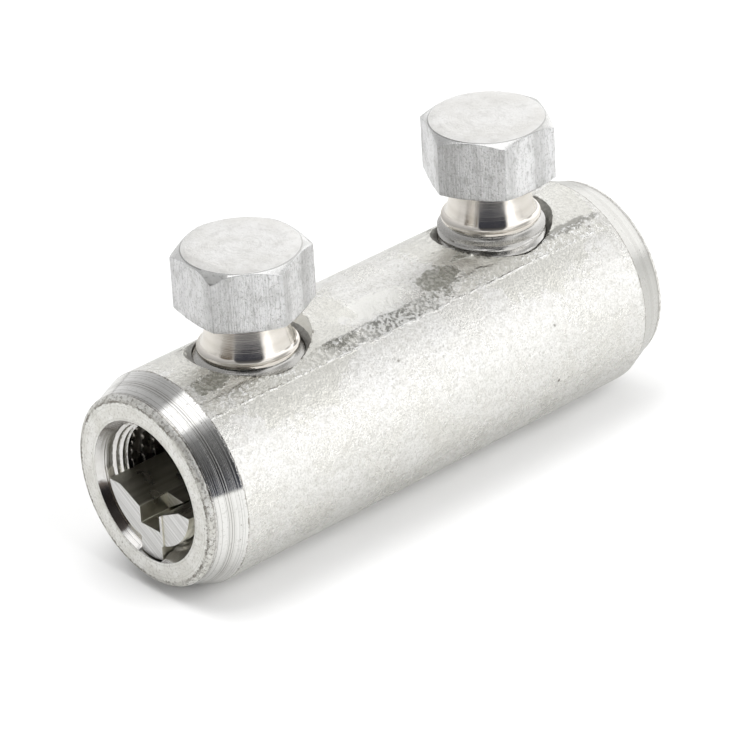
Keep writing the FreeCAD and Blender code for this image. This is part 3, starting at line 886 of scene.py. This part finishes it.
# %% Bore surface
NOISE_START, CONE_FACES, KEYWAY_FROM = 31.5, 29.7, 7.0
bores = Shell()
fine_x = steps((32.92, 0), (31.6, 6), (24.0, 76), (WALL_FACE, 110))
bore_angle = steps((-ROOF_END, 0), (ROOF_END, 152), (math.radians(162), 10), (math.radians(197), 28),
                   (math.radians(265), 10))
cone, ringed = bore_wall(fine_x)
section = bore_outline((bore_angle + math.pi) % (2 * math.pi) - math.pi)
keyway_only = np.where(section > KEYWAY_FROM, section, BORE_R)
toothed = np.where(fine_x[:, None] < HALF_LENGTH - DEEP_START, section[None], keyway_only[None])
radius = np.maximum(np.maximum(cone, ringed)[:, None], toothed)
radius = radius + np.random.default_rng(7).normal(0, 0.010, radius.shape) * (fine_x[:, None] < NOISE_START)
radius[:, -1] = radius[:, 0]
for side in (-1, 1):
    points = round_axis(side * fine_x[:, None], radius, bore_angle)
    middle = (points[1:, 1:] + points[:-1, :-1]) / 2
    off_hole = np.hypot(middle[..., 0] - side * BOLT_X, middle[..., 1])
    closed = (off_hole >= HOLE_R + 0.08) | (middle[..., 2] <= 0)
    uv = np.stack([fine_x[:, None] + 0 * bore_angle, radius * bore_angle], -1) / 10
    at_mouth = np.broadcast_to((fine_x[1:] > CONE_FACES)[:, None], closed.shape)
    bores.add(points, uv, 0, -points * [0, 1, 1], keep=closed & ~at_mouth)
    bores.add(points, uv, 1, -points * [0, 1, 1], keep=closed & at_mouth)
    wall = points[-1:] * (np.linspace(1, 0, 5)[:, None, None] * [0, 1, 1] + [1, 0, 0])
    bores.add(wall, wall[..., 1:] / 10, 0, [side, 0, 0])
print("bore grid", radius.shape)

# %% [markdown]
# The skin and the bores are two pieces on the same body. Together they stand for the barrel's CAD node,
# which is hidden and stays in the motion model for collision.

# %% Barrel pieces
barrel_piece = barrel.mesh("barrel_skin", "barrel", "tinned_barrel",
                           [tinned, lead_in, bore_skin, turned, end_face, countersunk])
bores.mesh("barrel_bores", "barrel", "tinned_barrel", [bore_skin, lead_in])
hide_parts("connector_body")

# %% [markdown]
# ## Bolt shapes
# A bolt is turned and its head is left from hexagon bar. The flats meet the turned chamfers along curves
# that dip at each corner. A Boolean of prism and cone would give them, but not evenly spaced, so the
# curves are worked out first and used as rows of the grid, and the edges stay crisp.


# %% Head rows
TOP_FALL, BASE_RISE = 0.62, 0.25


def hexagon(theta, rounding=0.22):
    """Radius of a hexagon with slightly rounded corners, at angles from a corner. Near a corner it is the
    far side of a small circle, and elsewhere the straight flat."""
    off = (theta + math.pi / 6) % (math.pi / 3) - math.pi / 6
    centre = (FLAT_R - rounding) / math.cos(math.pi / 6)
    arc = centre * np.cos(off) + np.sqrt(np.maximum(rounding**2 - (centre * np.sin(off)) ** 2, 0))
    flat = FLAT_R / np.cos(math.pi / 6 - np.abs(off))
    touch = math.atan2(rounding / 2, centre + rounding * math.cos(math.pi / 6))
    return np.where(np.abs(off) < touch, arc, flat)


def head_rows(theta, dent):
    """Rows (radius, height) of the head from under it to the rim of its top. Both chamfers fall with the
    radius, and a smooth scoop at the angle dent, if there is one, takes one corner lower."""
    flats = hexagon(theta)
    fall = TOP_FALL * (flats - TOP_R) / (CORNER_R - TOP_R)
    scoop = 0 * theta
    if dent is not None:
        off = np.abs((theta - dent + math.pi) % (2 * math.pi) - math.pi)
        scoop = np.clip(1.5 - off / math.radians(8.0), 0, 1)
        scoop = scoop * scoop * (3 - 2 * scoop)
    fall = fall + scoop * (0.14 + 0.34 * np.maximum(0, flats - 6.75))
    rise = BASE_RISE * np.maximum(0, flats - BASE_R) / (CORNER_R - BASE_R)
    low, high = HEAD_BASE + rise + 0.05, HEAD_TOP - fall - 0.05
    rows = [(np.minimum(flats, BASE_R), HEAD_BASE + 0 * theta), (flats - 0.03, HEAD_BASE + rise)]
    rows += [(flats, low)]
    rows += [(flats, low + (high - low) * share) for share in np.linspace(0.1, 1, 9)]
    rows += [(flats - 0.04, HEAD_TOP - fall + 0.01)]
    rows += [(flats * 0.5 + TOP_R * 0.5 - 0.07 * scoop, HEAD_TOP - fall / 2)]
    edge = np.full_like(theta, TOP_R)
    return rows, [(edge + 0.02, HEAD_TOP - 0.02 + 0 * theta), (edge - 0.05, HEAD_TOP + 0 * theta)]


# %% [markdown]
# Below the head come neck, flare, collar, relief and thread. The neck is a little hollow and wider at its
# foot, which its reflections show, and the flare swings out to the collar. The thread is a ridge in each
# row that moves on round the axis with the height, one turn for each pitch, and fades out at both ends.


# %% Shank rows
TIP, THREAD_DEPTH = -5.6, 0.5


def shank_rows(theta):
    """Rows from the tip to under the head. The flare is an arc of 0.8 mm that leaves the collar nearly
    level and ends nearly upright. The neck's radius falls with the height, a little less fast higher up."""
    zero = 0 * theta
    tip = (0, TIP), (3, TIP), (5.0, TIP), (5.25, -5.35)
    rows = [(zero + radius, zero + height) for radius, height in tip]
    for height in np.arange(-5.1, -1.15, 0.09):
        phase = (height / THREAD_PITCH - theta / (2 * math.pi)) % 1.0
        tooth = np.clip(2.6 * np.abs(phase - 0.5) - 0.35, 0, 1)
        ends = min(1.0, (height + 5.4) / 0.7, (-1.25 - height) / 0.3)
        crest = min(THREAD_R, 5.0 + height - TIP)
        rows.append((crest - THREAD_DEPTH * tooth * max(0.0, ends), zero + height))
    rows += [(zero + radius, zero + height) for radius, height in (
        (5.5, -1.08), (5.2, -0.9), (RELIEF_R, -0.74), (RELIEF_R + 0.02, -0.62), (5.42, -0.34))]
    collar = [(COLLAR_R, -0.3), (COLLAR_R, -0.05), (COLLAR_R - 0.04, 0.0)]
    swing = np.linspace(math.radians(74), math.radians(17), 14)
    flare = [(COLLAR_R - 0.03 - 0.8 * (math.cos(a) - 0.276), 0.8 * (0.961 - math.sin(a))) for a in swing]
    foot_r, foot_z = flare[-1]
    rise = np.linspace(0, HEAD_BASE - 0.25 - foot_z, 12)[1:]
    neck = [(foot_r - 0.305 * up + 0.006 * up**2, foot_z + up) for up in rise]
    neck += [(neck[-1][0] + 0.05, HEAD_BASE - 0.08), (neck[-1][0] + 0.2, HEAD_BASE)]
    return rows, [(zero + radius, zero + height) for radius, height in collar + flare + neck]


# %% [markdown]
# Each stretch of rows becomes one grid with its own finish: thread, neck, underside, flats, chamfer and
# top. They share their border rows, so the weld closes the bolt. Both bolts come from the same rows, and
# only the near one has the scraped corner.


# %% Bolts
def bolt_shell(side):
    """All the grids of one bolt in its place."""
    centre, collar_top, turn = BOLTS[side]
    theta = np.linspace(0, 2 * math.pi, 241)
    dent = math.pi if side == "left" else None
    head, rim = head_rows(theta, dent)
    threaded, smooth = shank_rows(theta)
    top = [(rim[-1][0] * share, rim[-1][1]) for share in (0.75, 0.5, 0.25, 0.0)]
    chamfer = [head[-2], head[-1], rim[0]]
    parts = [(threaded + smooth[:1], 3), (smooth, 2), ([smooth[-1], head[0]], 1), (head[:-1], 0),
             (chamfer, 5), (rim, 5), (rim[-1:] + top, 1)]
    world = theta + math.radians(turn)
    side_way = np.stack([-np.sin(world), np.cos(world), 0 * world], -1)[None]
    flats = hexagon(theta)
    around = lengths(np.column_stack([flats * np.cos(theta), flats * np.sin(theta)]))
    shell = Shell()
    for rows, finish in parts:
        radius, z = (np.stack([np.broadcast_to(row[k], theta.shape) for row in rows]) for k in (0, 1))
        points = np.stack([centre + radius * np.cos(world), radius * np.sin(world), collar_top + z], -1)
        run = TOP_R - radius if finish in (1, 5) else z
        uv = np.stack([run, np.broadcast_to(around, run.shape)], -1) / 10
        outward = np.cross(side_way, np.gradient(points, axis=0))
        at_dent = np.zeros((len(rows) - 1, len(theta) - 1), bool)
        if rows is chamfer and dent is not None:
            at_dent |= np.abs(theta[1:] - 0.013 - dent) < math.radians(13)
        shell.add(points, uv, finish, outward, keep=~at_dent)
        if at_dent.any():
            shell.add(points, uv, 4, outward, keep=at_dent)
    return shell


for side in BOLTS:
    piece = bolt_shell(side).mesh(f"bolt_{side}_piece", f"bolt_{side}", "turned_bolt",
                                  [bolt_flats, bolt_top, bolt_neck, bolt_thread, scrape_and_dent_shade, bolt_chamfer])
    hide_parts(f"shear_bolt_{side}")

# %% [markdown]
# ## Insert shapes
# An insert is one outline pushed along the bore. The saw left the near lobe of the left one standing two
# tenths back, so the outline is clipped in two and that lobe gets its own end. A small Bevel modifier
# wears the edges round, which keeps the outline itself easy to read.


# %% Insert outline
def arc_points(centre, radius, start, end, count):
    """Points of an arc in the section plane, angles in degrees from plus Y towards plus Z."""
    angle = np.radians(np.linspace(start, end, count))
    return np.stack([centre[0] + radius * np.cos(angle), centre[1] + radius * np.sin(angle)], -1)


def insert_outline():
    """The cradle's section, from the lobe on plus Y round below to the one on minus Y, then over the top."""
    radius, keel, sole_r = 6.38, 1.65, 4.5
    lobe_start = -math.degrees(math.asin(1 / radius))
    lobe_end = -math.degrees(math.acos(keel / radius))
    lobe = arc_points((0, 0), radius, lobe_start, lobe_end, 18)
    spread = math.degrees(math.asin(keel / sole_r))
    sole_z = -7.75 + math.sqrt(sole_r**2 - keel**2)
    sole = arc_points((0, sole_z), sole_r, -90 + spread, -90 - spread, 9)
    top = np.array([[-4.55, -1.0], [-1.55, -2.5], [-1.55, -4.45], [1.55, -4.45], [1.55, -2.5], [4.55, -1.0]])
    return np.concatenate([lobe, sole, lobe[::-1] * [-1, 1], top])


def clip(outline, border, keep_above):
    """The part of an outline on one side of y = border, cut straight across."""
    following = np.roll(outline, -1, axis=0)
    step = following - outline
    share = (border - outline[:, 0]) / np.where(step[:, 0] == 0, 1, step[:, 0])
    crossing = outline + share[:, None] * step
    crosses = (outline[:, 0] - border) * (following[:, 0] - border) < 0
    inside = (outline[:, 0] > border) == keep_above
    both = np.stack([outline, crossing], 1).reshape(-1, 2)
    return both[np.stack([inside, crosses], 1).ravel()]


# %% [markdown]
# Pushing an outline gives two rings of points, a wall between them and a face at each end. Blender works
# out afterwards which way is outwards. A small web, as a third outline, stands in the near slot.


# %% Inserts
def insert_piece(side, bodies):
    """Each outline in bodies, an (outline, start, end), pushed along X and closed at both ends."""
    points, faces, finishes, total = [], [], [], 0
    for outline, start, end in bodies:
        count = len(outline)
        for x in (start, end):
            points.append(np.column_stack([np.full(count, x), outline]))
        low, high = np.arange(count) + total, np.arange(count) + total + count
        walls = np.stack([low, high, np.roll(high, -1), np.roll(low, -1)], -1)
        faces += walls.tolist() + [low.tolist(), high[::-1].tolist()]
        finishes += [0] * count + [1, 1]
        total += 2 * count
    points = np.concatenate(points)
    around = np.concatenate([np.tile(lengths(outline), 2) for outline, start, end in bodies])
    uvs = np.column_stack([points[:, 0], around]) / 10
    mesh = new_mesh(f"insert_{side}_piece", points, faces, uvs, finishes, [insert_side, insert_end])
    shell = bmesh.new()
    shell.from_mesh(mesh)
    bmesh.ops.recalc_face_normals(shell, faces=shell.faces)
    shell.to_mesh(mesh)
    shell.free()
    piece = new_piece(mesh)
    bevel = piece.modifiers.new("worn edges", "BEVEL")
    bevel.width, bevel.segments, bevel.limit_method = 0.045 * MM, 2, "ANGLE"
    bevel.angle_limit = math.radians(35)
    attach(piece, "barrel")
    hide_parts(f"conductor_insert_{side}")


outline = insert_outline()
web = np.array([[1.6, -4.4], [-0.9, -2.8], [1.6, -2.45]])
insert_piece("left", [(clip(outline, -1.9, True), -32.5, -2.4), (clip(outline, -1.9, False), -32.3, -2.4),
                      (web, -28.7, -24.0)])
insert_piece("right", [(outline, 2.4, 32.5)])

# %% [markdown]
# ## Studio
# The joint lies on a white table under a tent. Metal shows what surrounds it, so the tent matters more
# than the lamps: it is bright overhead and to the right, dark where the photographer stands, and greyer
# behind. An image could wrap the world, but here it is drawn from the direction of each ray: its bearing
# from minus Y and its elevation, with round cards laid over.

# %% World
world = bpy.data.worlds.new("tent")
bpy.context.scene.world = world
world.use_nodes = True
world.node_tree.nodes.clear()
tree = Tree(world.node_tree)
direction = tree.node("TexCoord")["Generated"]
way = tree.split(direction)
bearing = tree.math("ARCTAN2", way[0], way[1] * -1.0) * TO_DEGREES
elevation = tree.math("ARCSINE", way[2]) * TO_DEGREES


def by_elevation(stops):
    """Brightness by elevation, from (degrees, value) stops."""
    made = tree.node("ValToRGB", Fac=tree.ramp(elevation, -90.0, 90.0, smooth=False))
    elements = made.node.color_ramp.elements
    while len(elements) < len(stops):
        elements.new(0.5)
    for element, (degrees, value) in zip(elements, stops):
        element.position = (degrees + 90) / 180
        element.color = (*value, 1.0) if isinstance(value, tuple) else (value, value, value, 1.0)
    return made[0]


def card(bearing_centre, elevation_centre, radius, soft):
    """A round card of the tent, by the angle between the ray and the card's middle."""
    b, e = math.radians(bearing_centre), math.radians(elevation_centre)
    middle = (math.sin(b) * math.cos(e), -math.cos(b) * math.cos(e), math.sin(e))
    near = tree.node("VectorMath", {"operation": "DOT_PRODUCT"}, _0=direction, _1=middle)["Value"]
    return tree.ramp(near, math.cos(math.radians(radius + soft)), math.cos(math.radians(radius - soft)))


back = by_elevation([(-90, 0.9), (0, 0.8), (20, 0.6), (40, 0.46), (50, 0.40), (61, 0.39), (73, 0.45),
                     (80, 1.1)])
right = by_elevation([(-90, 0.9), (-3, 1.0), (3, 1.45), (24, 1.35), (36, 1.05), (60, 1.0), (74, 1.15)])
front = by_elevation([(-90, 0.9), (-3, 0.85), (1, (0.040, 0.043, 0.060)), (22, (0.055, 0.055, 0.058)),
                      (42, 0.11), (58, 0.17), (69, 0.5), (78, 1.15)])
in_front = tree.ramp(bearing, -79.0, -73.0) * tree.ramp(bearing, -8.0, 2.0, 1.0, 0.0)
behind = tree.ramp(bearing, 138.0, 160.0) + tree.ramp(bearing, -79.0, -73.0, 1.0, 0.0)
tent = tree.layers(
    tree.mix(behind, right, back),
    (card(60, 50, 15, 8), (0.46, 0.46, 0.455)),
    (card(124, 38, 20, 8), (1.05, 1.05, 1.04)),
    (card(-94, 2, 17, 4), (0.17, 0.145, 0.12)),
    (card(64, 2, 10, 6), (0.5, 0.5, 0.495)),
    (in_front, front),
    (card(14, 10, 10, 3), (2.4, 2.4, 2.4)),
    (card(-100, 80, 17, 4), (1.3, 1.3, 1.3)),
    (tree.node("LightPath")["Is Camera Ray"], (1.0, 1.0, 1.0)))
tree.node("OutputWorld", Surface=tree.node("Background", Color=tent, Strength=1.0)[0])
print("world", world.name)

# %% [markdown]
# Two soft boxes light the table only: one above gives the short shadow at the lower right, and one in front
# fills it. The metal doesn't reflect them, as the tent already has its own bright patches.

# %% Lamps
LAMPS = ("box_above", (-90, 60, 400), 300, 0.85), ("box_front", (120, -420, 300), 420, 1.6)
for name, place, size, watts in LAMPS:
    light = bpy.data.lights.new(name, "AREA")
    light.shape, light.size, light.energy = "SQUARE", size * MM, watts
    box = in_scene(name, light)
    box.location = Vector(place) * MM
    box.rotation_euler = (-box.location).to_track_quat("-Z", "Y").to_euler()
    box.visible_glossy = False
    print(name, place, "mm,", watts, "W")

# %% [markdown]
# The table is one large plane just under the barrel. A camera ray sees it almost white, as in the photograph,
# while the metal and the shadow get a little less light back from it.

# %% Table
TABLE_HALF, TABLE_GAP = 3.0, 0.00001
corners = [(x * TABLE_HALF, y * TABLE_HALF, 0) for x, y in ((-1, -1), (1, -1), (1, 1), (-1, 1))]
table_mesh = bpy.data.meshes.new("table")
table_mesh.from_pydata(corners, [], [(0, 1, 2, 3)])
table_mesh.transform(Matrix.Translation((0, 0, -BARREL_R * MM - TABLE_GAP)))
table = in_scene("table", table_mesh)
paper = bpy.data.materials.new("white paper")
paper.use_nodes = True
tree, shader = Tree(paper.node_tree), paper.node_tree.nodes["Principled BSDF"].inputs
seen = tree.node("LightPath")["Is Camera Ray"]
tree.feed(shader["Base Color"], tree.mix(seen, (0.71, 0.71, 0.70), (0.95, 0.95, 0.95)))
shader["Roughness"].default_value = 0.8
shader["Specular IOR Level"].default_value = 0.0
table_mesh.materials.append(paper)
bpy.context.scene.view_settings.view_transform = "Standard"
print("table at", -BARREL_R, "mm")

# %% [markdown]
# ## Camera
# The camera stands where the photograph was taken from: about forty degrees to the left of the side view,
# thirty above the table, half a metre away with a long lens and a slight tilt. The angles and the small
# shift of the eye come from a fit of the drawing's points to the photograph, so they aren't round.

# %% Camera
PHOTO_WIDTH, FOCAL_PIXELS, SENSOR = 730, 4647.11, 36.0
SHIFT_RIGHT, SHIFT_UP, DISTANCE = -1.36, 1.254, 501.025
azimuth, height_angle, roll = (math.radians(a) for a in (-40.729, 29.242, -3.425))
back_way = np.array([math.sin(azimuth) * math.cos(height_angle), -math.cos(azimuth) * math.cos(height_angle),
                     math.sin(height_angle)])
level = np.cross(-back_way, [0, 0, 1])
level /= np.linalg.norm(level)
upright = np.cross(level, -back_way)
right_way = math.cos(roll) * level + math.sin(roll) * upright
up_way = -math.sin(roll) * level + math.cos(roll) * upright
eye = (SHIFT_RIGHT * right_way + SHIFT_UP * up_way + DISTANCE * back_way) * MM
camera_data = bpy.data.cameras.new("camera")
camera_data.lens, camera_data.sensor_width = SENSOR * FOCAL_PIXELS / PHOTO_WIDTH, SENSOR
camera_data.clip_start, camera_data.clip_end = 0.01, 20.0
camera = in_scene("camera", camera_data)
columns = np.eye(4)
columns[:3] = np.column_stack([right_way, up_way, back_way, eye])
camera.matrix_world = Matrix(columns.tolist())
bpy.context.scene.camera = camera
print("camera", (eye / MM).round(1), "mm, lens", round(camera_data.lens, 1))
